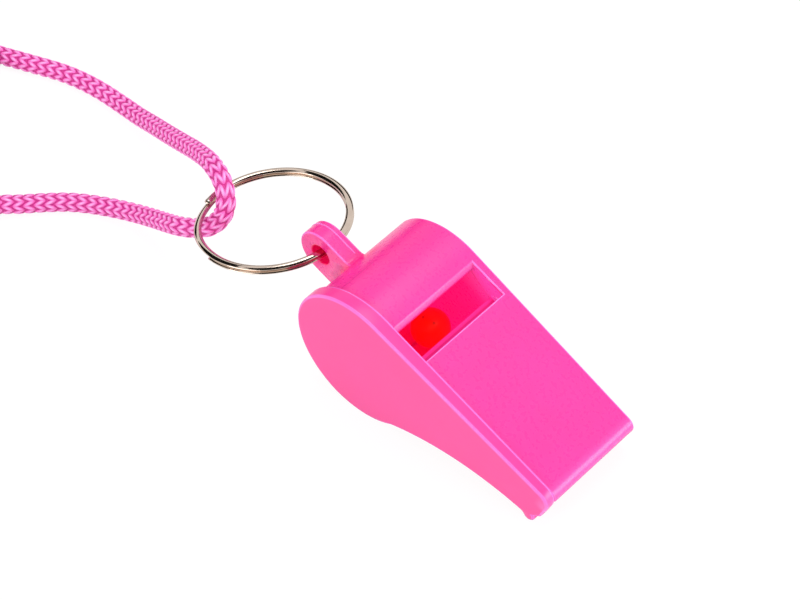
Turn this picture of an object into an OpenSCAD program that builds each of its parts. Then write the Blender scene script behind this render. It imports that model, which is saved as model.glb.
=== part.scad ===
// Sports whistle on a split ring and a looped neck cord. All lengths in millimetres.
// The row stands on a table at z = 0 with the mouthpiece toward +X and the side cover toward -Y.
// The whistle's own frame has its origin on the chamber axis, +X along the flat top toward
// the mouthpiece, +Y from the side cover to the far wall and +Z square to the flat top.

/* [Whistle outline] */
// Whole width across the two side faces
whistle_width = 20; // [16:0.1:24]
// Outer radius of the round chamber
chamber_radius = 10.7; // [9:0.1:13]
// From the chamber axis to the tip of the mouthpiece
tip_reach = 33.7; // [28:0.1:40]
// Radius of the hollow arc under the mouthpiece
belly_radius = 43.3; // [36:0.1:52]
// How far past the tip the centre of that arc lies
belly_lead = 3.97; // [0:0.01:8]
// How far below the chamber axis the centre of that arc lies
belly_drop = 38.31; // [30:0.01:46]
// Rounding of the upper edge of the tip
nose_radius = 1.5; // [1:0.1:3]
// Radius of the lip bead under the tip
bead_radius = 0.95; // [0.5:0.05:1.5]
// From the tip back to the bead's centre
bead_setback = 1.4; // [1:0.1:3]
// Height of the bead's centre above the chamber axis
bead_height = 4.9; // [4:0.1:6]
// Fillet between the bead and the hollow arc
bead_fillet = 0.9; // [0.4:0.1:2]
// Height of the cover's lower front corner above the chamber axis
brow_height = 6.5; // [5.5:0.1:8]
// How much the near side draws in at the tip
near_taper = 0.65; // [0:0.05:1.5]
// How much the far side draws in at the tip
far_taper = 0.8; // [0:0.05:1.5]

/* [Side cover] */
// Depth of the bonded cover
cover_depth = 2.45; // [1.5:0.05:3.5]
// How far the cover stands proud of the body all round
cover_proud = 0.6; // [0.2:0.05:1]
// Outer radius of the rib that locates the cover in the chamber
rib_radius = 9.15; // [8:0.05:11]
// Width of that rib
rib_width = 0.95; // [0.5:0.05:1.5]
// Height of that rib
rib_height = 0.8; // [0.4:0.1:1.5]

/* [Chamber and airway] */
// Wall round the chamber
chamber_wall = 1.5; // [1:0.1:2]
// Wall on the far side
side_wall = 1.45; // [1:0.05:2]
// Rear edge of the window, from the chamber axis
window_rear = 2.05; // [1:0.05:4]
// Front edge of the window, from the chamber axis
window_front = 7.7; // [6:0.1:10]
// Length of the bevel on the window's rear edge
bevel_run = 0.7; // [0.2:0.1:1.2]
// Depth of that bevel
bevel_drop = 0.6; // [0.2:0.1:1.2]
// Thickness of the airway's roof
roof_wall = 1.4; // [1:0.1:2]
// Height of the airway where it meets the window
jet_height = 1.45; // [1:0.05:2]
// Height of the airway at the mouthpiece
mouth_height = 3.35; // [2:0.05:4]
// How far the airway's floor runs on under the window
lip_run = 1.2; // [0.4:0.1:2]
// Thickness of the airway's floor
floor_wall = 1.4; // [1:0.1:2]
// From the chamber axis to the front end of the hollow under the airway
pocket_reach = 24; // [18:0.5:26]

/* [Lug and pea] */
// From the chamber axis back to the lug's hole
lug_reach = 15.1; // [14:0.1:18]
// How far below the chamber axis the hole lies
lug_drop = 1.6; // [0:0.1:4]
// Radius of the lug's rounded end
lug_radius = 3.9; // [3:0.1:5]
// Thickness of the lug
lug_thick = 3.06; // [2:0.02:4]
// Radius of the lug's hole
hole_radius = 1.65; // [1.2:0.05:2.2]
// Fillet between the lug and the chamber
root_radius = 1; // [0.4:0.1:2]
// Radius of the pea
pea_radius = 2.95; // [2.5:0.05:3.5]
// Gap between the pea and the chamber wall
pea_gap = 0.3; // [0.2:0.05:1]
// Gap between the pea and the inner face of the far side
pea_aside = 0.6; // [0.3:0.05:3]

/* [Split ring] */
// Outer diameter of the ring
ring_diameter = 23.4; // [20:0.1:28]
// Width of the wire, along the ring's radius
wire_width = 1.15; // [0.8:0.05:1.6]
// Thickness of one turn of wire, along the ring's axis
wire_thick = 0.62; // [0.5:0.02:1]
// Gap between the two turns
turn_gap = 0.06; // [0.04:0.01:0.2]
// Chamfer on the wire's corners
wire_chamfer = 0.14; // [0.05:0.01:0.25]
// Slope of the ring down from the lug, in degrees
ring_slope = 6.75; // [0:0.05:12]
// Lean of the ring to the far side, in degrees
ring_lean = 3.46; // [0:0.02:8]

/* [Neck cord] */
// Diameter of the cord
cord_diameter = 3; // [2.6:0.1:3]
// Outer radius of the sleeve that joins the cord's ends
crimp_radius = 2.2; // [1.9:0.1:3]
// Length of the sleeve
crimp_length = 14; // [10:0.5:20]
// Depth of each socket in the sleeve
socket_depth = 5; // [3:0.5:6]
// Clearance round the cord in a socket
socket_gap = 0.05; // [0.05:0.05:0.2]
// Depth of the pressed grooves round the sleeve
groove_depth = 0.25; // [0.1:0.05:0.5]
// Width of those grooves
groove_width = 1.2; // [0.6:0.1:2]

/* [Hidden] */
$fn = 96;
// How far a cutting solid runs past the face that it cuts
overrun = chamber_radius / 20;

// Whistle, in its own frame
cavity_radius = chamber_radius - chamber_wall;
inner_far = whistle_width - side_wall;
rim_radius = chamber_radius + cover_proud;
roof_height = chamber_radius - roof_wall;
lip_reach = window_front - lip_run;
jet_floor = roof_height - jet_height;
mouth_floor = roof_height - mouth_height;
floor_slope = (jet_floor - mouth_floor) / (tip_reach - lip_reach);
bead_reach = tip_reach - bead_setback;
cover_bead = bead_height - cover_proud;
lug_near = (whistle_width - lug_thick) / 2;
function airway_floor(x) = jet_floor - floor_slope * (x - lip_reach);

// At rest the cover's round rim and its lip bead both touch the table
bead_distance = norm([bead_reach, cover_bead]);
pitch = asin((rim_radius - bead_radius) / bead_distance) + atan2(cover_bead, bead_reach);
pea_orbit = cavity_radius - pea_gap - pea_radius;
pea_across = inner_far - pea_radius - pea_aside;

// Ring, from the lug's hole to the far side of the ring
ring_mean = (ring_diameter - wire_width) / 2;
hole_back = -lug_reach * cos(pitch) - lug_drop * sin(pitch);
hole_up = rim_radius + lug_reach * sin(pitch) - lug_drop * cos(pitch);
tip_front = (tip_reach - nose_radius - cover_proud) * cos(pitch)
    + (chamber_radius - nose_radius) * sin(pitch) + nose_radius + cover_proud;
ring_back = hole_back - (ring_mean + ring_diameter / 2) * cos(ring_slope)
    - (wire_thick + turn_gap / 2) * sin(ring_slope);
// Sets the middle of the whistle and ring together at x = 0
row_shift = -(tip_front + ring_back) / 2;
ring_centre = [row_shift + hole_back - ring_mean * cos(ring_slope), 0,
    hole_up - ring_mean * sin(ring_slope)];

// Ring wire: one lower turn, a short climb, one upper turn
ring_start = 261;
climb_start = 558;
climb_end = 621;
ring_end = 918;
ring_steps = 90;
half_wide = wire_width / 2;
half_thick = wire_thick / 2;
wire_section = [
    [half_wide, half_thick - wire_chamfer], [half_wide - wire_chamfer, half_thick],
    [wire_chamfer - half_wide, half_thick], [-half_wide, half_thick - wire_chamfer],
    [-half_wide, wire_chamfer - half_thick], [wire_chamfer - half_wide, -half_thick],
    [half_wide - wire_chamfer, -half_thick], [half_wide, wire_chamfer - half_thick]];

// Cord sleeve on the table, with its axis level
cord_radius = cord_diameter / 2;
crimp_turn = 55;
crimp_start = [-79, -30.2, crimp_radius];
crimp_heading = [cos(crimp_turn), sin(crimp_turn), 0];
function on_crimp(t) = crimp_start + t * crimp_heading;

// Route of the cord from the sleeve, through the ring, to the coil
loop_route = concat(
    [on_crimp(crimp_length - socket_depth), on_crimp(crimp_length),
     on_crimp(crimp_length + cord_diameter)],
    [[-67.15, -13.8, 1.7], [-64.45, -11, 1.5], [-60.85, -8.1, 1.5], [-56.25, -5.8, 1.7],
     [-50.75, -4.7, 3], [-45.75, -5, 5.3], [-41.25, -5.8, 7.9], [-38.05, -6.2, 9.7],
     [-35.45, -5.6, 10.6], [-33.45, -4.3, 11.3], [-32.35, -2.9, 12.7], [-32.25, -1.8, 14.5],
     [-33.15, -0.8, 16.1], [-34.95, 0.2, 17], [-37.15, 1.1, 16.9], [-39.65, 2.2, 15.9],
     [-44.65, 4.1, 13.2], [-49.75, 5.7, 10.5], [-54.95, 7.3, 7.8], [-60.25, 8.9, 5.2],
     [-65.45, 10.2, 3], [-70.75, 11.1, 1.8], [-76.75, 11.3, 1.5], [-83, 10.5, 1.5],
     [-90, 8.4, 1.5], [-95, 6.8, 1.5], [-98, 6.05, 1.5], [-100.1, 5.8, 1.5],
     [-101.6, 5.8, 1.5], [-103.1, 5.8, 1.5]]);

// Route of the cord from the coil back to the sleeve
tail_route = concat(
    [[-103.1, -35.6, 5], [-101.6, -35.6, 5], [-100.1, -35.6, 5], [-98, -35.6, 4.8],
     [-95.2, -35.65, 4.2], [-91.8, -35.8, 3.3], [-87.8, -35.9, 2.6], [-83.8, -34.9, 2.3]],
    [on_crimp(-cord_diameter), on_crimp(0), on_crimp(socket_depth)]);

// Coil: in on the lower layer, a climb in the middle half turn, out on the upper layer
coil_middle = [-106.1, -14.9];
coil_radius = 20.7;
coil_turns = 7.5;
coil_pitch = 3.15;
coil_layer = 3.5;
coil_per_turn = 24;
coil_steps = coil_turns * coil_per_turn;

function unit(v) = v / norm(v);
function ease(t) = let(u = min(1, max(0, t))) u * u * (3 - 2 * u);

// Direction of a route at one of its points
function heading(route, i) =
    i == 0 ? unit(route[1] - route[0])
    : i == len(route) - 1 ? unit(route[i] - route[i - 1])
    : (route[i + 1] - route[i - 1])
        / (norm(route[i + 1] - route[i]) + norm(route[i] - route[i - 1]));

// Point a share u of the way from one route point to the next
function between(route, i, u) =
    let(a = route[i], b = route[i + 1], span = norm(b - a),
        p = a * (2 * u * u * u - 3 * u * u + 1) + b * (3 * u * u - 2 * u * u * u)
            + span * heading(route, i) * (u * u * u - 2 * u * u + u)
            + span * heading(route, i + 1) * (u * u * u - u * u))
    [p[0], p[1], max(p[2], cord_radius)];

function curve(route, cuts) = concat(
    [for (i = [0:len(route) - 2]) for (j = [0:cuts - 1]) between(route, i, j / cuts)],
    [route[len(route) - 1]]);

// Rings of a tube, each square to the route, with a corner straight below
function tube_ring(path, i, radius, sides) =
    let(t = unit(heading(path, i)), across = unit(cross(t, [0, 0, 1])),
        up = cross(across, t))
    [for (k = [0:sides - 1]) let(a = 360 * k / sides - 90)
        path[i] + radius * (cos(a) * across + sin(a) * up)];
function tube_points(path, radius, sides) =
    [for (i = [0:len(path) - 1]) each tube_ring(path, i, radius, sides)];
function skin_faces(rings, sides) = concat(
    [for (i = [0:rings - 2]) for (k = [0:sides - 1])
        let(n = (k + 1) % sides, a = i * sides, b = (i + 1) * sides)
        each [[a + k, a + n, b + n], [a + k, b + n, b + k]]],
    [for (k = [1:sides - 2]) [0, k + 1, k]],
    [for (k = [1:sides - 2]) let(e = (rings - 1) * sides) [e, e + k, e + k + 1]]);

loop_path = curve(loop_route, 2);
tail_path = curve(tail_route, 2);

function coil_point(i) =
    let(s = i / coil_per_turn, a = 90 + 360 * s,
        r = coil_radius - coil_pitch * min(s, coil_turns - s),
        z = cord_radius + coil_layer * ease(2 * (s - coil_turns / 2) + 1 / 2))
    [coil_middle[0] + r * cos(a), coil_middle[1] + r * sin(a), z];
coil_path = concat([[coil_middle[0] + cord_diameter, coil_middle[1] + coil_radius, cord_radius]],
    [for (i = [0:coil_steps]) coil_point(i)],
    [[coil_middle[0] + cord_diameter, coil_middle[1] - coil_radius, cord_radius + coil_layer]]);

// Least distance between the skins of rings that lie more than skip rings apart
function skin_gap(a, b, sides, skip) = min([
    for (i = [0:len(a) - 1]) for (j = [0:len(b) - 1])
        if (abs(i - j) > skip && norm(a[i] - b[j]) < 6 * cord_diameter)
            min([for (p = tube_ring(a, i, cord_radius, sides))
                for (q = tube_ring(b, j, cord_radius, sides)) norm(p - q)])]);
echo(coil_gap = skin_gap(coil_path, coil_path, 6, coil_per_turn / 2));
echo(loop_gap = skin_gap(loop_path, loop_path, 8, 12));

// Sets a piece from the whistle's own frame into the row
module in_row() {
    translate([row_shift, -whistle_width / 2, rim_radius]) rotate([0, pitch, 0]) children();
}

// Draws a side outline as a slab between two distances from the cover's outer face
module slab(from, to) {
    translate([0, to, 0]) rotate([90, 0, 0]) linear_extrude(to - from) children();
}

// Hollow arc under the mouthpiece
module belly_arc(inset) {
    translate([tip_reach + belly_lead, -belly_drop]) circle(r = belly_radius + inset);
}

// Side outline of the body, or of the cover that stands proud of it. Below the brow
// the front slants back to the lip bead.
module side_outline(proud, brow) {
    top = chamber_radius + proud;
    nose = nose_radius + proud;
    circle(r = top);
    difference() {
        polygon([[0, top], [tip_reach, top], [tip_reach, top - nose], brow,
            [bead_reach, bead_height - proud], [bead_reach, -top / 5], [0, -top * 9 / 10]]);
        belly_arc(-proud);
        translate([tip_reach - nose, top - nose]) difference() {
            square(2 * nose);
            circle(r = nose);
        }
    }
    translate([bead_reach, bead_height - proud]) circle(r = bead_radius);
    bead_root(proud);
}

// Fillet behind the lip bead, where it meets the hollow arc
module bead_root(proud) {
    bead = [bead_reach, bead_height - proud];
    arc = [tip_reach + belly_lead, -belly_drop];
    arc_radius = belly_radius - proud;
    to_bead = bead_radius + bead_fillet;
    to_arc = arc_radius - bead_fillet;
    span = norm(bead - arc);
    along = (span * span + to_arc * to_arc - to_bead * to_bead) / (2 * span);
    aside = sqrt(to_arc * to_arc - along * along);
    line = (bead - arc) / span;
    centre = arc + along * line + aside * [-line[1], line[0]];
    difference() {
        polygon([arc + (centre - arc) * arc_radius / to_arc, centre,
            bead + (centre - bead) * bead_radius / to_bead, bead]);
        translate(centre) circle(r = bead_fillet);
    }
}

// Wedge that draws one side in toward the tip
module side_wedge(taper) {
    translate([0, 0, -2 * chamber_radius]) linear_extrude(4 * chamber_radius)
        polygon([[0, 0], [2 * tip_reach, 2 * taper], [2 * tip_reach, -overrun], [0, -overrun]]);
}

// Fillet between the lug and the chamber, above (1) or below (-1)
module lug_root(side) {
    edge = side * lug_radius - lug_drop;
    centre_z = edge + side * root_radius;
    centre_x = -sqrt(pow(chamber_radius + root_radius, 2) - pow(centre_z, 2));
    touch_share = chamber_radius / (chamber_radius + root_radius);
    difference() {
        polygon([[centre_x, edge], [0, edge], [centre_x * touch_share, centre_z * touch_share]]);
        translate([centre_x, centre_z]) circle(r = root_radius);
    }
}

module lug_outline() {
    translate([-lug_reach, -lug_drop]) circle(r = lug_radius);
    translate([-lug_reach, -lug_drop - lug_radius]) square([lug_reach, 2 * lug_radius]);
    lug_root(1);
    lug_root(-1);
}

// Airway from the mouthpiece to the window, drawn out past both ends
module airway_outline() {
    far = tip_reach + overrun;
    polygon([[window_front - overrun, roof_height], [far, roof_height],
        [far, airway_floor(far)], [window_front - overrun, airway_floor(window_front - overrun)]]);
}

// Window with its bevelled rear edge and the end of the airway's floor
module window_outline() {
    top = chamber_radius;
    sill = cavity_radius / 2;
    polygon([[window_rear - bevel_run, top], [window_rear, top - bevel_drop],
        [window_rear, sill], [lip_reach, sill], [lip_reach, jet_floor],
        [window_front, airway_floor(window_front)], [window_front, top + overrun],
        [window_rear - bevel_run, top + overrun]]);
}

// Hollow under the airway's floor, outside the chamber's wall
module pocket_outline() {
    difference() {
        polygon([[0, airway_floor(0) - floor_wall],
            [pocket_reach, airway_floor(pocket_reach) - floor_wall],
            [pocket_reach, -chamber_radius], [0, -chamber_radius]]);
        circle(r = chamber_radius);
        belly_arc(floor_wall);
    }
}

module body_shell() {
    color("HotPink") in_row() difference() {
        union() {
            slab(cover_depth, whistle_width)
                side_outline(0, [bead_reach + bead_radius, bead_height]);
            slab(lug_near, lug_near + lug_thick) lug_outline();
        }
        slab(cover_depth - overrun, inner_far) circle(r = cavity_radius);
        slab(cover_depth - overrun, inner_far) airway_outline();
        slab(cover_depth - overrun, inner_far) window_outline();
        slab(cover_depth - overrun, inner_far) pocket_outline();
        slab(lug_near - overrun, lug_near + lug_thick + overrun)
            translate([-lug_reach, -lug_drop]) circle(r = hole_radius);
        translate([0, whistle_width, 0]) mirror([0, 1, 0]) side_wedge(far_taper);
    }
}

module side_cover() {
    color("DeepPink") in_row() {
        difference() {
            slab(0, cover_depth) side_outline(cover_proud, [tip_reach, brow_height]);
            side_wedge(near_taper);
        }
        slab(cover_depth, cover_depth + rib_height) difference() {
            circle(r = rib_radius);
            circle(r = rib_radius - rib_width);
            translate([-window_rear, rib_radius / 2]) square(2 * rib_radius);
        }
    }
}

// The pea lies on the lowest line of the chamber
module pea() {
    color("OrangeRed") translate([row_shift, pea_across - whistle_width / 2, rim_radius - pea_orbit])
        sphere(r = pea_radius);
}

module split_ring() {
    turn = wire_thick + turn_gap;
    points = [for (i = [0:ring_steps])
        let(a = ring_start + (ring_end - ring_start) * i / ring_steps,
            z = turn * (ease((a - climb_start) / (climb_end - climb_start)) - 1 / 2))
        for (s = wire_section)
            [(ring_mean + s[0]) * cos(a), (ring_mean + s[0]) * sin(a), z + s[1]]];
    color("Silver") translate(ring_centre) rotate([0, -ring_slope, 0]) rotate([-ring_lean, 0, 0])
        polyhedron(points, skin_faces(ring_steps + 1, len(wire_section)));
}

module cord_tube(path, sides) {
    color("Orchid") polyhedron(tube_points(path, cord_radius, sides), skin_faces(len(path), sides));
}

module lanyard_loop() {
    cord_tube(loop_path, 8);
}

module lanyard_coil() {
    cord_tube(coil_path, 6);
}

module lanyard_tail() {
    cord_tube(tail_path, 8);
}

module cord_crimp() {
    bore = cord_radius + socket_gap;
    color("Gainsboro") translate(crimp_start) rotate([0, 0, crimp_turn]) rotate([0, 90, 0])
    difference() {
        cylinder(r = crimp_radius, h = crimp_length);
        translate([0, 0, -overrun]) cylinder(r = bore, h = socket_depth + overrun);
        translate([0, 0, crimp_length - socket_depth])
            cylinder(r = bore, h = socket_depth + overrun);
        for (share = [1 / 5, 4 / 5])
            translate([0, 0, crimp_length * share - groove_width / 2]) difference() {
                cylinder(r = crimp_radius + overrun, h = groove_width);
                translate([0, 0, -overrun])
                    cylinder(r = crimp_radius - groove_depth, h = groove_width + 2 * overrun);
            }
    }
}

body_shell();
side_cover();
pea();
split_ring();
lanyard_loop();
lanyard_coil();
lanyard_tail();
cord_crimp();
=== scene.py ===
import math

import bmesh
import bpy
import numpy as np
from mathutils import Matrix, Vector
from mathutils.kdtree import KDTree


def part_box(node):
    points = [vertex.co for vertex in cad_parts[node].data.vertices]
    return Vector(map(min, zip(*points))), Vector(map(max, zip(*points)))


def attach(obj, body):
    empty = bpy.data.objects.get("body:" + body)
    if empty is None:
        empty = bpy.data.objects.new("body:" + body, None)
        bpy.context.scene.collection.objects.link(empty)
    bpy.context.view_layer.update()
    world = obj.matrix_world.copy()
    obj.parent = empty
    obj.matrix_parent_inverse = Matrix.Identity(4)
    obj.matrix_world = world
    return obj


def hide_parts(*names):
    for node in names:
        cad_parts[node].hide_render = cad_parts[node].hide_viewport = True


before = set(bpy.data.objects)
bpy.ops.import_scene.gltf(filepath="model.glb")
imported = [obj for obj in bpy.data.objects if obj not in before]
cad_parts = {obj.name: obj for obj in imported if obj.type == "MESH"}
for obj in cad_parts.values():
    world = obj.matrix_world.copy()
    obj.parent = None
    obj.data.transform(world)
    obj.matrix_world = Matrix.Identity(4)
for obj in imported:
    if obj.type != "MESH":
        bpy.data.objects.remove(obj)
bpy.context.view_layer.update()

scene = bpy.context.scene

# Camera
# A long lens looks down on the whistle from the mouthpiece's near side, so that
# the whistle, its ring and the first bends of the cord fill the frame.
eye = Vector((0.21072, -0.19107, 0.32613))
look = Vector((-0.4985, 0.4540, -0.7385)).normalized()
right = look.cross(Vector((-0.4665, 0.5775, 0.6700))).normalized()
upward = right.cross(look)
camera = bpy.data.objects.new("camera", bpy.data.cameras.new("camera"))
camera.matrix_world = Matrix((
    (right.x, upward.x, -look.x, eye.x),
    (right.y, upward.y, -look.y, eye.y),
    (right.z, upward.z, -look.z, eye.z),
    (0, 0, 0, 1)))
camera.data.lens = 135
camera.data.sensor_width = 36
camera.data.clip_start = 0.01
scene.collection.objects.link(camera)
scene.camera = camera


# Neck cord
# A round cord knitted from glossy polyester yarn in six columns of V stitches. It runs
# from the metal sleeve, up through the split ring and back to the table, and the length
# out of view lies in a flat double coil. Sizes and places are in millimetres.
CORD_RADIUS = 1.5
WALES = 6
STITCH = 1.7
STITCH_DEPTH = 0.24
SIDES_PER_WALE = 8
SLEEVE_START = np.array((-79.0, -30.2, 2.2))
SLEEVE_LENGTH = 14
SLEEVE_TURN = math.radians(55)
SLEEVE_HEADING = np.array((math.cos(SLEEVE_TURN), math.sin(SLEEVE_TURN), 0.0))
COIL_CENTRE = (-106.1, -14.9)
COIL_IN = (-106.1, 5.8, 1.5)
COIL_OUT = (-106.1, -35.6, 5)
COIL_TURNS = 7.5
COIL_RADIUS = 20.7
COIL_PITCH = 3.15
COIL_LAYER = 3.5


def on_sleeve(along):
    return SLEEVE_START + along * SLEEVE_HEADING


through_ring = [
    on_sleeve(9), on_sleeve(SLEEVE_LENGTH), on_sleeve(17),
    (-67.15, -13.8, 1.7), (-64.45, -11, 1.5), (-60.85, -8.1, 1.5), (-56.25, -5.8, 1.7),
    (-50.75, -4.7, 3), (-45.75, -5, 5.3), (-41.25, -5.8, 7.9), (-38.05, -6.2, 9.7),
    (-35.45, -5.6, 10.6), (-33.45, -4.3, 11.3), (-32.35, -2.9, 12.7), (-32.25, -1.8, 14.5),
    (-33.15, -0.8, 16.1), (-34.95, 0.2, 17), (-37.15, 1.1, 16.9), (-39.65, 2.2, 15.9),
    (-44.65, 4.1, 13.2), (-49.75, 5.7, 10.5), (-54.95, 7.3, 7.8), (-60.25, 8.9, 5.2),
    (-65.45, 10.2, 3), (-70.75, 11.1, 1.8), (-76.75, 11.3, 1.5), (-83, 10.5, 1.5),
    (-90, 8.4, 1.5), (-95, 6.8, 1.5), (-98, 6.05, 1.5), (-100.1, 5.8, 1.5),
    (-101.6, 5.8, 1.5), (-103.1, 5.8, 1.5)]
into_sleeve = [
    (-103.1, -35.6, 5), (-101.6, -35.6, 5), (-100.1, -35.6, 5), (-98, -35.6, 4.8),
    (-95.2, -35.65, 4.2), (-91.8, -35.8, 3.3), (-87.8, -35.9, 2.6), (-83.8, -34.9, 2.3),
    on_sleeve(-3), on_sleeve(0), on_sleeve(5)]


def smooth_line(route, spacing):
    """Points about that far apart on the smooth line through a route, all but its last."""
    p = np.array(route, float)
    span = np.linalg.norm(np.diff(p, axis=0), axis=1)
    lean = np.empty_like(p)
    lean[0], lean[-1] = (p[1] - p[0]) / span[0], (p[-1] - p[-2]) / span[-1]
    lean[1:-1] = (p[2:] - p[:-2]) / (span[1:] + span[:-1])[:, None]
    out = []
    for i, length in enumerate(span):
        u = (np.arange(round(length / spacing)) / round(length / spacing))[:, None]
        out.append(p[i] * (2 * u**3 - 3 * u**2 + 1) + p[i + 1] * (3 * u**2 - 2 * u**3)
                   + length * lean[i] * (u**3 - 2 * u**2 + u) + length * lean[i + 1] * (u**3 - u**2))
    line = np.concatenate(out)
    line[:, 2] = np.maximum(line[:, 2], CORD_RADIUS)
    return line


def coil_line(spacing):
    """Flat coil: in on the table, up a layer in the middle half turn, and out again on top."""
    mean_radius = 15
    turned = np.linspace(0, COIL_TURNS, round(COIL_TURNS * 2 * math.pi * mean_radius / spacing))
    out = COIL_RADIUS - COIL_PITCH * np.minimum(turned, COIL_TURNS - turned)
    rise = np.clip(2 * (turned - COIL_TURNS / 2) + 0.5, 0, 1)
    bearing = math.pi / 2 + 2 * math.pi * turned
    return np.stack([COIL_CENTRE[0] + out * np.cos(bearing), COIL_CENTRE[1] + out * np.sin(bearing),
                     CORD_RADIUS + COIL_LAYER * rise**2 * (3 - 2 * rise)], axis=1)


# The skin's rings stand closer together where the camera sees the knit
in_view, out_of_view = STITCH / 10, STITCH / 6
cord_line = np.concatenate([
    smooth_line(through_ring, in_view),
    smooth_line([through_ring[-1], COIL_IN], out_of_view),
    coil_line(out_of_view),
    smooth_line([COIL_OUT, into_sleeve[0]], out_of_view)[1:],
    smooth_line(into_sleeve, out_of_view),
    [into_sleeve[-1]]])
cord_along = np.concatenate([[0], np.cumsum(np.linalg.norm(np.diff(cord_line, axis=0), axis=1))])


def tube(name, points, uv=None):
    """A closed tube skinned over rings of points, which are in millimetres. Its uv, if given,
    is the number of columns round it and each ring's place along it."""
    rings, sides = points.shape[:2]
    i, k = np.meshgrid(np.arange(rings - 1), np.arange(sides), indexing="ij")
    n = (k + 1) % sides
    quads = np.stack([i * sides + k, (i + 1) * sides + k, (i + 1) * sides + n, i * sides + n], axis=2)
    caps = [list(range(sides)), list(range((rings - 1) * sides, rings * sides))[::-1]]
    mesh = bpy.data.meshes.new(name)
    mesh.from_pydata((points.reshape(-1, 3) * 0.001).tolist(), [], quads.reshape(-1, 4).tolist() + caps)
    mesh.shade_smooth()
    if uv is not None:
        corners = np.zeros((len(mesh.loops), 2))
        corners[:quads.size, 0] = (np.stack([k, k, k + 1, k + 1], axis=2) / sides * uv[0]).ravel()
        corners[:quads.size, 1] = uv[1][np.stack([i, i + 1, i + 1, i], axis=2)].ravel()
        mesh.uv_layers.new(name="UVMap").data.foreach_set("uv", corners.ravel())
    piece = bpy.data.objects.new(name, mesh)
    scene.collection.objects.link(piece)
    return piece


# Each stitch is two plump legs of yarn that meet in a V. A leg is half a column wide, leans
# in toward the column's middle, and tucks under the legs of the stitch before it.
LEG_LEAN = 0.42
LEG_HALF_WIDTH = 0.36
LEG_HALF_LENGTH = 1.05
WALE = 2 * math.pi * CORD_RADIUS / WALES


def leg_parts(from_middle, along):
    """Distances across and along a leg, as shares of its half width and half length."""
    aside = (from_middle - 0.25) * WALE
    ahead = along * STITCH
    return ((aside * math.cos(LEG_LEAN) - ahead * math.sin(LEG_LEAN)) * (1 / LEG_HALF_WIDTH),
            (aside * math.sin(LEG_LEAN) + ahead * math.cos(LEG_LEAN)) * (1 / LEG_HALF_LENGTH))


sides = WALES * SIDES_PER_WALE
turn = np.arange(sides) / sides
middle = np.abs((turn * WALES + 0.5) % 1 - 0.5)[None]
step = (cord_along[:, None] / STITCH) % 1
relief = np.zeros((len(cord_line), sides))
for shift in (-1, 0, 1):
    wide, long = leg_parts(middle, step - 0.5 + shift)
    relief = np.maximum(relief, np.sqrt(np.clip(1 - wide**2 - long**2, 0, 1)))
cord_reach = CORD_RADIUS - STITCH_DEPTH + STITCH_DEPTH * relief
angle = 2 * math.pi * turn - math.pi / 2
heading = np.gradient(cord_line, axis=0)
across = np.cross(heading, (0, 0, 1))
across /= np.linalg.norm(across, axis=1)[:, None]
up = np.cross(across, heading)
up /= np.linalg.norm(up, axis=1)[:, None]
cord = tube("neck_cord", cord_line[:, None] + (cord_reach * np.cos(angle))[:, :, None] * across[:, None]
            + (cord_reach * np.sin(angle))[:, :, None] * up[:, None], uv=(WALES, cord_along / STITCH))


class Tone:
    """A value in some shading. Sums and products of tones add the shading's Math nodes."""

    def __init__(self, shading, socket):
        self.shading, self.socket = shading, socket

    def math(self, operation, first, second=0.0):
        return self.shading.node("ShaderNodeMath", {"operation": operation}, {0: first, 1: second})

    def __add__(self, other):
        return self.math("ADD", self, other)

    def __sub__(self, other):
        return self.math("SUBTRACT", self, other)

    def __rsub__(self, other):
        return self.math("SUBTRACT", other, self)

    def __mul__(self, other):
        return self.math("MULTIPLY", self, other)

    def __mod__(self, other):
        return self.math("FLOORED_MODULO", self, other)

    def __pow__(self, other):
        return self.math("POWER", self, other)

    def __abs__(self):
        return self.math("ABSOLUTE", self)

    def largest(self, other):
        return self.math("MAXIMUM", self, other)

    def least(self, other):
        return self.math("MINIMUM", self, other)

    __radd__, __rmul__ = __add__, __mul__


class Shading:
    """The nodes of one material, or of the world."""

    def __init__(self, tree):
        self.tree = tree

    def feed(self, node, sockets):
        for name, value in sockets.items():
            if isinstance(value, Tone):
                self.tree.links.new(value.socket, node.inputs[name])
            else:
                node.inputs[name].default_value = value

    def node(self, kind, settings={}, sockets={}, out=0):
        made = self.tree.nodes.new(kind)
        for name, value in settings.items():
            setattr(made, name, value)
        self.feed(made, sockets)
        return Tone(self, made.outputs[out])

    def blend(self, share, first, second):
        return self.node("ShaderNodeMix", {"data_type": "RGBA"}, {0: share, 6: first, 7: second}, out=2)

    def parts(self, kind, names, settings={}, sockets={}):
        """The named outputs of one node."""
        outputs = self.node(kind, settings, sockets).socket.node.outputs
        return [Tone(self, outputs[name]) for name in names]


class Finish(Shading):
    """A procedural material, and the Principled shader that its nodes end in."""

    def __init__(self, name, **constants):
        self.material = bpy.data.materials.new(name)
        self.material.use_nodes = True
        super().__init__(self.material.node_tree)
        self.shader = self.tree.nodes["Principled BSDF"]
        self.feed(self.shader, {word.replace("_", " "): value for word, value in constants.items()})

    def place(self):
        """Where a point is on the object at rest, in metres."""
        return self.node("ShaderNodeTexCoord", out=3)

    def noise(self, scale, detail=2.0):
        return self.node("ShaderNodeTexNoise", {},
                         {"Vector": self.place(), "Scale": scale, "Detail": detail})

    def relief(self, height, depth, strength=1.0):
        self.feed(self.shader, {"Normal": self.node(
            "ShaderNodeBump", {}, {"Height": height, "Distance": depth, "Strength": strength})})


def linear(red, green, blue):
    """A colour picked in 0 to 255 display steps, as the shader's linear light."""
    steps = [c / 255 for c in (red, green, blue)]
    return [c / 12.92 if c <= 0.04045 else ((c + 0.055) / 1.055)**2.4 for c in steps] + [1.0]


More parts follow.
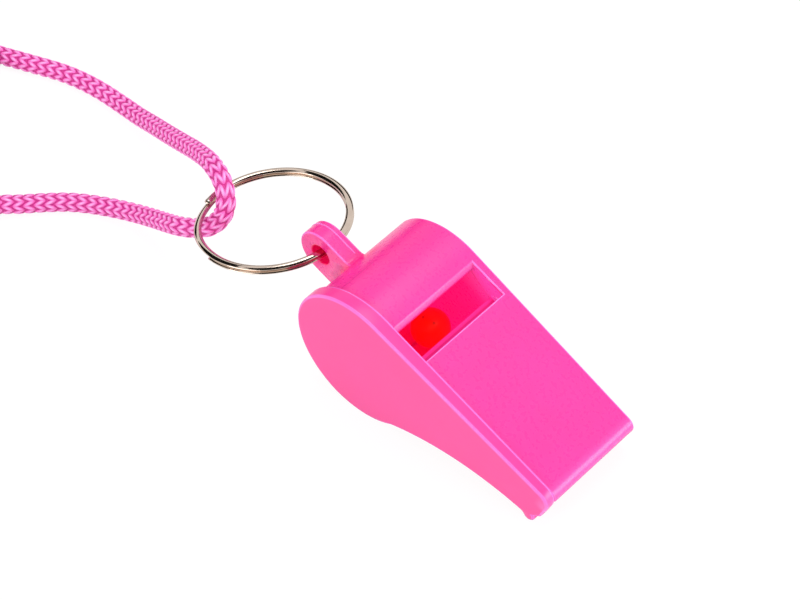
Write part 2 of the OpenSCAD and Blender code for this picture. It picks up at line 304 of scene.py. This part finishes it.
knit = Finish("knitted_cord", Roughness=0.45, Sheen_Weight=0.15, Sheen_Roughness=0.35,
              Sheen_Tint=linear(255, 170, 230))
round_cord, along_cord = knit.parts("ShaderNodeSeparateXYZ", "XY", {}, {
    0: knit.node("ShaderNodeUVMap", {"uv_map": "UVMap"})})
from_middle = abs((round_cord + 0.5) % 1.0 - 0.5)
legs = []
for shift in (-1.5, -0.5, 0.5):
    wide, long = leg_parts(from_middle, along_cord % 1.0 + shift)
    legs.append((1 - wide * wide - long * long).largest(0.0) ** 0.5)
knit_height = legs[0].largest(legs[1]).largest(legs[2])
fibre = knit.noise(2600, 2.0)
patch = knit.noise(420, 3.0)
# The yarn is one pink: the darker colour in the hollows between the legs is painted shade, and the pale
# colour on the legs' ridges is a painted highlight.
hollow = knit.blend(patch, linear(196, 20, 122), linear(222, 40, 150))
yarn = knit.blend(patch, linear(255, 84, 186), linear(255, 106, 202))
ridge_highlight = knit.blend(patch, linear(255, 150, 226), linear(255, 190, 242))
out_of_hollow = (knit_height * 3.2 + fibre * 0.3 - 0.15).least(1.0)
on_ridge = ((knit_height ** 4.0) * 1.05 + fibre * 0.2 - 0.1).largest(0.0)
knit.feed(knit.shader, {
    "Base Color": knit.blend(on_ridge, knit.blend(out_of_hollow, hollow, yarn), ridge_highlight)})
knit.relief(knit_height + fibre * 0.12, 0.00022, 0.9)
cord.data.materials.append(knit.material)
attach(cord, "lanyard")
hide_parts("lanyard_loop", "lanyard_coil", "lanyard_tail")


# Cord sleeve
# A short steel tube pressed onto the cord's two ends, with two rolled grooves
# that grip the knit inside it.
SHARP_EDGE = math.radians(24)
SAME_FACE = math.radians(0.6)
MARK_SPACING = 0.0003


def softened(node, name, edge, finish, body, highlight_finish=None, takes_highlight=None):
    """A copy of a CAD solid with its outer edges rounded, standing for it. Rounded edges that the
    given test picks may take a second finish, a painted highlight."""
    work = bmesh.new()
    work.from_mesh(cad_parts[node].data)
    bmesh.ops.remove_doubles(work, verts=work.verts, dist=1e-6)
    bmesh.ops.dissolve_limit(work, angle_limit=SAME_FACE, verts=work.verts, edges=work.edges)
    bmesh.ops.triangulate(work, faces=work.faces)
    sharp = [e for e in work.edges
             if len(e.link_faces) == 2 and e.calc_face_angle_signed() > SHARP_EDGE]
    marks = [e.verts[0].co.lerp(e.verts[1].co, share)
             for e in sharp for share in np.linspace(0, 1, 2 + int(e.calc_length() / MARK_SPACING))]
    nearest = KDTree(len(marks))
    for i, place in enumerate(marks):
        nearest.insert(place, i)
    nearest.balance()
    rounded = bmesh.ops.bevel(work, geom=sharp, offset=edge * 0.001, offset_type="OFFSET", segments=3,
                              profile=0.5, affect="EDGES", clamp_overlap=False)["faces"]
    # The picked rounded edges take the second finish, a painted highlight.
    if highlight_finish:
        for face in rounded:
            face.material_index = int(takes_highlight(nearest.find(face.calc_center_median())[0] * 1000))
    mesh = bpy.data.meshes.new(name)
    work.to_mesh(mesh)
    work.free()
    mesh.shade_smooth()
    piece = bpy.data.objects.new(name, mesh)
    scene.collection.objects.link(piece)
    weigh = piece.modifiers.new("even_faces", "WEIGHTED_NORMAL")
    weigh.keep_sharp = True
    mesh.materials.append(finish.material)
    if highlight_finish:
        mesh.materials.append(highlight_finish.material)
    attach(piece, body)
    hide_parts(node)
    return piece


pressed = Finish("pressed_sleeve", Metallic=1.0, Base_Color=linear(196, 192, 188))
grain = pressed.noise(900, 4.0)
pressed.feed(pressed.shader, {"Roughness": grain * 0.2 + 0.24})
pressed.relief(grain, 0.00002, 0.4)
sleeve = softened("cord_crimp", "cord_sleeve", 0.15, pressed, "lanyard")

# Split ring
# Flattened spring wire, coiled almost two turns and nickel plated. The outer end
# is a rounded nub on the upper turn and the inner end is cut square on the lower one.
RING_CENTRE = Vector((-24.0707, 0.0, 15.1993)) * 0.001
RING_MEAN = 11.125
WIRE_WIDE = 1.15
WIRE_THICK = 0.62
TURN_GAP = 0.06
WIRE_FLATTENING = 1.35
INNER_END, OUTER_END = 261, 918
CLIMB_START, CLIMB_SPAN = 558, 63
NUB_SPAN = 3
RING_STEPS, WIRE_SIDES = 460, 24
RING_TILT = (math.radians(-6.75), math.radians(-3.46))
ring_degrees = np.linspace(INNER_END, OUTER_END, RING_STEPS)
ring_turn = np.radians(ring_degrees)
climb = np.clip((ring_degrees - CLIMB_START) / CLIMB_SPAN, 0, 1)
lift = (WIRE_THICK + TURN_GAP) * (climb**2 * (3 - 2 * climb) - 0.5)
around = np.linspace(0, 2 * math.pi, WIRE_SIDES, endpoint=False)
wire_out = WIRE_WIDE / 2 * np.sign(np.cos(around)) * np.abs(np.cos(around))**WIRE_FLATTENING
wire_up = WIRE_THICK / 2 * np.sign(np.sin(around)) * np.abs(np.sin(around))**WIRE_FLATTENING
from_end = np.clip((OUTER_END - ring_degrees) / NUB_SPAN, 0, 1)
blunt = np.sqrt(np.maximum(1 - (1 - from_end)**2, 0.02))[:, None]
reach = RING_MEAN + wire_out * blunt
ring = tube("split_ring_wire", np.stack([
    reach * np.cos(ring_turn)[:, None], reach * np.sin(ring_turn)[:, None],
    lift[:, None] + wire_up * blunt], axis=2))
ring.data.transform(Matrix.Translation(RING_CENTRE) @ Matrix.Rotation(RING_TILT[0], 4, "Y")
                    @ Matrix.Rotation(RING_TILT[1], 4, "X"))
nickel = Finish("nickel_plate", Metallic=1.0)
wear = nickel.noise(700, 3.0)
nickel.feed(nickel.shader, {
    "Base Color": nickel.blend(wear, linear(196, 178, 164), linear(222, 204, 190)),
    "Roughness": wear * 0.06 + 0.05})
nickel.relief(wear, 0.00001, 0.3)
ring.data.materials.append(nickel.material)
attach(ring, "ring")
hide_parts("split_ring")

# Whistle body
# One hot pink moulding: the round chamber, the flat airway and the lug, with the
# window cut through its roof. The side that the cover closes is left open.
CHAMBER_AXIS = (1.2411, 11.3)
PITCH = math.radians(26.1028)
CHAMBER_RADIUS = 10.7
CAVITY_RADIUS = 9.2
NEAR_WALL, FAR_WALL = -7.55, 8.55
ROOF_UNDERSIDE = 9.35
WINDOW_REAR, WINDOW_FRONT = 2.0, 7.8
WINDOW_SILL = 5.0
BEVEL_MIDDLE, BEVEL_HALF_WIDTH = 1.7, 0.34
BEVEL_FOOT = 9.9
AIRWAY_START, MOUTH = 6.3, 33.6
AIRWAY_FLOOR, FLOOR_SLOPE = 8.3, 0.07
LIP_RIDGE, LIP_HALF_WIDTH = 6.78, 0.16
NOSE_FRONT, NOSE_TOP = 33.0, 8.9
WITNESS_LEAN = math.radians(23)
WITNESS_MIDDLE, WITNESS_HALF_LENGTH = -4.0, 3.0
LUG_CENTRE = (-15.1, -1.6)
LUG_RADIUS = 3.9
LUG_ROOT = -11.3
HOLE_RADIUS = 1.65
ROOT_SHADE_FRONT = -8.0
ROOT_SHADE_HALF_WIDTH, ROOT_SHADE_REACH = 2.4, 5.4
DIM_UP_TO, BRIGHT_FROM = 4.0, 9.0


def under(value, edge, softness=0.3):
    """1 where the value is under the edge, falling to 0 over the softness."""
    return ((edge - value) * (1 / softness) + 1).largest(0.0).least(1.0)


def over(value, edge, softness=0.3):
    """1 where the value is over the edge, falling to 0 over the softness."""
    return under(-1 * value, -edge, softness)


def near(value, middle, reach, softness=0.3):
    """1 where the value is within reach of the middle, falling to 0 over the softness."""
    return under(abs(value - middle), reach, softness)


def on_whistle(x, z):
    """How far a place is ahead of the chamber's axis and above it, along the pitched whistle."""
    return (x * math.cos(PITCH) - z * math.sin(PITCH), x * math.sin(PITCH) + z * math.cos(PITCH))


def moulded(name, low, high, roughness):
    """Injection-moulded plastic with a faint flow pattern. Painted light stands for the daylight
    through its thin shell: the chamber has a painted glow, the airway painted crimson shade,
    the mouthpiece tip and the window's bevel painted highlights, and the lug's root and hole
    painted shade and glow."""
    finish = Finish(name, Subsurface_Weight=0.15, Subsurface_Scale=0.002,
                    Subsurface_Radius=(1.0, 0.12, 0.35), Emission_Strength=1.0)
    x, y, z = (part * 1000 for part in finish.parts(
        "ShaderNodeSeparateXYZ", "XYZ", {}, {0: finish.place()}))
    x, z = x - CHAMBER_AXIS[0], z - CHAMBER_AXIS[1]
    ahead, above = on_whistle(x, z)
    from_axis = (x * x + z * z) ** 0.5

    # Inside: the chamber, the airway, and the far wall where the window shows it
    across = over(y, NEAR_WALL) * under(y, FAR_WALL)
    hollow = across * under(above, ROOF_UNDERSIDE)
    in_chamber = hollow * under(from_axis, CAVITY_RADIUS, 0.6)
    in_airway = hollow * over(ahead, AIRWAY_START) * under(ahead, MOUTH)
    in_airway = in_airway * under(AIRWAY_FLOOR - FLOOR_SLOPE * ahead - above, 0.2)
    by_window = over(ahead, WINDOW_REAR, 0.1) * under(ahead, WINDOW_FRONT, 0.1)
    by_window = by_window * over(above, WINDOW_SILL, 0.1) * under(above, CHAMBER_RADIUS - 0.5, 0.1)
    by_window = by_window * near(y, FAR_WALL, 0.05, 0.03)
    far_face = (in_chamber + in_airway).least(1.0) * over(y, FAR_WALL - 0.15, 0.1)
    far_face = far_face.largest(by_window)
    in_airway = in_airway * (1 - far_face)
    in_chamber = in_chamber.largest(far_face)

    # Outside: flow marks, painted highlights on the mouthpiece tip and the window's bevel, the witness
    # line, and painted shade and glow at the lug's root and in its hole
    outside = finish.blend(finish.noise(90, 2.0), low, high)
    # Painted highlight on the mouthpiece tip, where the top rounds over at the front.
    nose_highlight = over(ahead, NOSE_FRONT, 1.4) * over(above, NOSE_TOP, 0.8)
    outside = finish.blend(nose_highlight * 0.42, outside, linear(255, 124, 214))
    witness = near(x * math.cos(WITNESS_LEAN) + z * math.sin(WITNESS_LEAN), 0.0, 0.04, 0.1)
    witness = witness * near(y, WITNESS_MIDDLE, WITNESS_HALF_LENGTH, 0.8) * over(z, 0.0)
    witness = witness * under(from_axis, CHAMBER_RADIUS + 0.1)
    outside = finish.blend(witness * 0.5, outside, linear(214, 20, 112))
    # Painted highlight on the bevel along the window's rear edge.
    bevel = across * near(ahead, BEVEL_MIDDLE, BEVEL_HALF_WIDTH, 0.2) * over(above, BEVEL_FOOT, 0.2)
    outside = finish.blend(bevel * 0.28, outside, linear(255, 128, 216))
    # Painted shade where the lug meets the chamber, a deep crimson, which gets a painted glow below so
    # that it stays bright.
    root_shade_and_glow = under(from_axis, CHAMBER_RADIUS + 0.3, 0.7) * under(ahead, ROOT_SHADE_FRONT, 0.8)
    root_shade_and_glow = root_shade_and_glow * near(y, 0.0, ROOT_SHADE_HALF_WIDTH, 1.4)
    root_shade_and_glow = root_shade_and_glow * near(above, LUG_CENTRE[1], ROOT_SHADE_REACH, 1.6)
    outside = finish.blend(root_shade_and_glow * 0.65, outside, linear(255, 14, 116))
    # Painted shade and glow inside the lug's hole: a deep red base with a faint red glow.
    hole_ahead, hole_above = ahead - LUG_CENTRE[0], above - LUG_CENTRE[1]
    from_hole = (hole_ahead * hole_ahead + hole_above * hole_above) ** 0.5
    hole_shade_and_glow = under(from_hole, HOLE_RADIUS + 0.1, 0.1)
    outside = finish.blend(hole_shade_and_glow, outside, linear(255, 12, 104))

    # Inside the chamber and on the far wall the pink is lighter: painted light for the daylight through
    # the thin shell.
    lit_walls = finish.blend(in_chamber, outside, linear(252, 60, 176))
    # The airway is painted crimson shade with a crimson painted glow, and a painted highlight runs along
    # the lip's ridge.
    lip_highlight = near(ahead, LIP_RIDGE, LIP_HALF_WIDTH, 0.12)
    floor_shade_and_highlight = finish.blend(lip_highlight, linear(200, 0, 100), linear(255, 40, 142))
    # Painted glow in the chamber for that daylight, dimmer toward the near wall as painted shade, and
    # brightest high on the far wall.
    glow = finish.blend(under(y, DIM_UP_TO, 3.0), linear(130, 14, 92), linear(96, 0, 24))
    glow = finish.blend(far_face * over(above, BRIGHT_FROM, 4.5), glow, linear(132, 52, 116))
    # The emission is all painted glow: at the lug's root, in its hole, in the chamber and in the airway.
    light = finish.blend(root_shade_and_glow, linear(0, 0, 0), linear(130, 0, 48))
    light = finish.blend(hole_shade_and_glow, light, linear(90, 0, 36))
    light = finish.blend(in_chamber, light, glow)
    finish.feed(finish.shader, {
        "Base Color": finish.blend(in_airway, lit_walls, floor_shade_and_highlight),
        "Roughness": finish.noise(1500, 3.0) * 0.08 + in_airway * 0.5 + roughness,
        "Emission Color": finish.blend(in_airway, light, linear(136, 0, 80))})
    finish.relief(finish.noise(260, 2.0), 0.00002, 0.12)
    return finish


def on_body_outside(place):
    """Whether an edge of the body is on its outside, clear of the lug's hole and the bevel."""
    x, z = place.x - CHAMBER_AXIS[0], place.z - CHAMBER_AXIS[1]
    ahead, above = on_whistle(x, z)
    by_hole = math.hypot(ahead - LUG_CENTRE[0], above - LUG_CENTRE[1]) < HOLE_RADIUS + 0.55
    by_bevel = abs(ahead - BEVEL_MIDDLE) < 0.6 and above > 9 and place.y < FAR_WALL
    in_hollow = math.hypot(x, z) < CHAMBER_RADIUS - 0.5 or (ahead > 0 and above < 10)
    return not (by_hole or by_bevel or (in_hollow and NEAR_WALL < place.y < FAR_WALL + 0.15))


pink = moulded("pink_body", linear(255, 44, 150), linear(255, 54, 162), 0.24)
# A paler copy of the pink: a painted highlight for the rounded outer edges of the body and the cover, and
# for the lug's seam.
painted_edge_highlight = moulded("painted_edge_highlight", linear(255, 108, 204), linear(255, 120, 214), 0.2)
softened("body_shell", "whistle_body", 0.22, pink, "whistle",
         painted_edge_highlight, on_body_outside)

# The line where the halves of the mould met, a fine ridge round the lug
SEAM_ASIDE = 0.62
SEAM_RISE, SEAM_HALF_WIDTH = 0.08, 0.13
straight = np.linspace(LUG_ROOT, LUG_CENTRE[0], 12)
level = np.full(12, LUG_CENTRE[1])
bend = np.linspace(math.pi / 2, 3 * math.pi / 2, 40)
edge_line = np.concatenate([
    np.stack([straight, level + LUG_RADIUS], axis=1)[:-1],
    LUG_CENTRE + LUG_RADIUS * np.stack([np.cos(bend), np.sin(bend)], axis=1),
    np.stack([straight, level - LUG_RADIUS], axis=1)[::-1][1:]])
outward = edge_line - np.stack([np.maximum(edge_line[:, 0], LUG_CENTRE[0]),
                                np.full(len(edge_line), LUG_CENTRE[1])], axis=1)
outward /= np.linalg.norm(outward, axis=1)[:, None]
ridge_turn = np.linspace(0, 2 * math.pi, 8, endpoint=False)
seam_out = edge_line[:, None] + SEAM_RISE * np.cos(ridge_turn)[None, :, None] * outward[:, None]
seam_x = CHAMBER_AXIS[0] + seam_out[:, :, 0] * math.cos(PITCH) + seam_out[:, :, 1] * math.sin(PITCH)
seam_z = CHAMBER_AXIS[1] - seam_out[:, :, 0] * math.sin(PITCH) + seam_out[:, :, 1] * math.cos(PITCH)
seam_y = np.broadcast_to(SEAM_ASIDE + SEAM_HALF_WIDTH * np.sin(ridge_turn), seam_x.shape)
lug_seam = tube("lug_seam", np.stack([seam_x, seam_y, seam_z], axis=2))
# The seam takes the painted edge highlight.
lug_seam.data.materials.append(painted_edge_highlight.material)
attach(lug_seam, "whistle")

# Side cover
# The same plastic, moulded as a flat plate that stands a little proud of the body
# all round and is bonded over its open side. Its outer face is bare. Its pink is a touch
# lighter and warmer than the body's, painted light for the warmer light on the near side.
plate = moulded("pink_cover", linear(255, 50, 150), linear(255, 60, 160), 0.26)
# Every rounded edge of the cover takes the painted edge highlight.
softened("side_cover", "whistle_cover", 0.36, plate, "whistle",
         painted_edge_highlight, lambda place: True)

# Pea
# A small hard ball moulded in orange plastic, loose in the chamber, where the breath spins
# it. A faint parting line runs round its middle, and two dark spots show where it was fed.
PEA_CENTRE = (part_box("pea")[0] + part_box("pea")[1]) / 2
PEA_RADIUS = 2.95
PARTING_WIDTH = 0.06
PARTING_RISE = 0.006
GATE_MARKS = ((0.86, 4.1, 8.13), (2.68, 4.41, 7.86))
MARK_RADIUS = 0.34
ball = bmesh.new()
bmesh.ops.create_icosphere(ball, subdivisions=5, radius=PEA_RADIUS * 0.001)
for v in ball.verts:
    parting = math.exp(-(v.co.z * 1000 / PARTING_WIDTH)**2)
    v.co *= 1 - PARTING_RISE * (1 - parting)
    v.co += PEA_CENTRE
pea_mesh = bpy.data.meshes.new("pea_ball")
ball.to_mesh(pea_mesh)
ball.free()
pea_mesh.shade_smooth()
pea = bpy.data.objects.new("pea_ball", pea_mesh)
scene.collection.objects.link(pea)
# The pea has a faint painted orange glow; its gate marks glow less.
orange = Finish("orange_pea", Roughness=0.3, Emission_Strength=0.25)
mottle = orange.noise(500, 3.0)
marked = 0.0
for mark in GATE_MARKS:
    away = orange.node("ShaderNodeVectorMath", {"operation": "DISTANCE"}, {
        0: orange.place(), 1: [value * 0.001 for value in mark]}, out=1) * 1000
    marked = ((MARK_RADIUS - away) * 6.0).largest(0.0).least(1.0) * 0.4 + marked
skin = orange.blend(mottle, linear(255, 40, 2), linear(255, 66, 8))
orange.feed(orange.shader, {
    "Base Color": orange.blend(marked, skin, linear(120, 0, 10)),
    "Emission Color": orange.blend(marked, linear(255, 16, 0), linear(60, 0, 0))})
orange.relief(mottle, 0.00004, 0.5)
pea_mesh.materials.append(orange.material)
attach(pea, "ball")
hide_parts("pea")

# Table and light
# A plain white table, to the camera mostly its own light, under soft studio light from above
# and both sides. Black cards out of view put the dark streaks into the ring's nickel. Sizes
# and places are in metres.
TABLE_HALF = 3
TABLE_GLOW, GLOW_SHARE = 1.055, 0.88
CARD_OFF = 0.5


def seen(shading):
    """1 for what the camera sees, straight or by way of gloss or glass."""
    direct, gloss, glass = shading.parts(
        "ShaderNodeLightPath", ("Is Camera Ray", "Is Glossy Ray", "Is Transmission Ray"))
    return direct.largest(gloss).largest(glass)


table = bpy.data.objects.new("table", bpy.data.meshes.new("table"))
table.data.from_pydata([(-TABLE_HALF, -TABLE_HALF, 0), (TABLE_HALF, -TABLE_HALF, 0),
                        (TABLE_HALF, TABLE_HALF, 0), (-TABLE_HALF, TABLE_HALF, 0)],
                       [], [(0, 1, 2, 3)])
scene.collection.objects.link(table)
cloth = Finish("white_table", Base_Color=(0.86, 0.86, 0.86, 1), Roughness=0.9)
glow = cloth.node("ShaderNodeEmission", {}, {"Color": (1, 1, 1, 1), "Strength": TABLE_GLOW})
mix = cloth.node("ShaderNodeMixShader", {}, {
    0: seen(cloth) * GLOW_SHARE, 1: Tone(cloth, cloth.shader.outputs[0]), 2: glow})
cloth.feed(cloth.tree.nodes["Material Output"], {"Surface": mix})
table.data.materials.append(cloth.material)

world = bpy.data.worlds.new("studio")
scene.world = world
world.use_nodes = True
studio = Shading(world.node_tree)
studio.feed(world.node_tree.nodes["Background"], {
    "Color": (1, 1, 1, 1), "Strength": seen(studio) * 0.5 + 0.5})


def soft_box(name, place, toward, size, power):
    lamp = bpy.data.objects.new(name, bpy.data.lights.new(name, "AREA"))
    lamp.data.shape = "RECTANGLE"
    lamp.data.size, lamp.data.size_y = size
    lamp.data.energy = power
    lamp.location = place
    lamp.rotation_euler = (Vector(toward) - Vector(place)).to_track_quat("-Z", "Y").to_euler()
    scene.collection.objects.link(lamp)


soft_box("overhead", (0.0, 0.1, 0.6), (0, 0, 0.01), (0.4, 0.3), 1.7)
soft_box("near_side", (-0.05, -0.6, 0.3), (0, 0, 0.01), (0.5, 0.25), 1.6)
soft_box("far_side", (0.5, 0.3, 0.16), (0, 0, 0.01), (0.42, 0.34), 1.9)

black = Finish("black_card", Base_Color=(0.01, 0.01, 0.01, 1), Roughness=0.9, Specular_IOR_Level=0.0)


def dark_card(name, bearing, lift, wide, high):
    """A black card that only gloss sees. Its bearing, its lift, and half its width and height
    are angles from the middle of the row, in degrees."""
    toward = Matrix.Rotation(math.radians(bearing), 3, "Z") @ Matrix.Rotation(math.radians(-lift), 3, "Y")
    aside, above = (CARD_OFF * math.tan(math.radians(half)) for half in (wide, high))
    corners = ((-aside, -above), (aside, -above), (aside, above), (-aside, above))
    card = bpy.data.objects.new(name, bpy.data.meshes.new(name))
    card.data.from_pydata([toward @ Vector((CARD_OFF, y, z)) for y, z in corners], [], [(0, 1, 2, 3)])
    card.data.materials.append(black.material)
    scene.collection.objects.link(card)
    for ray in ("camera", "diffuse", "transmission", "volume_scatter", "shadow"):
        setattr(card, "visible_" + ray, False)


dark_card("card_above_camera", -42.3, 70.0, 29, 34)
dark_card("card_left", -162.0, 38.0, 23, 20)
dark_card("card_far", 137.7, 9.0, 38, 9)

scene.view_settings.view_transform = "Standard"
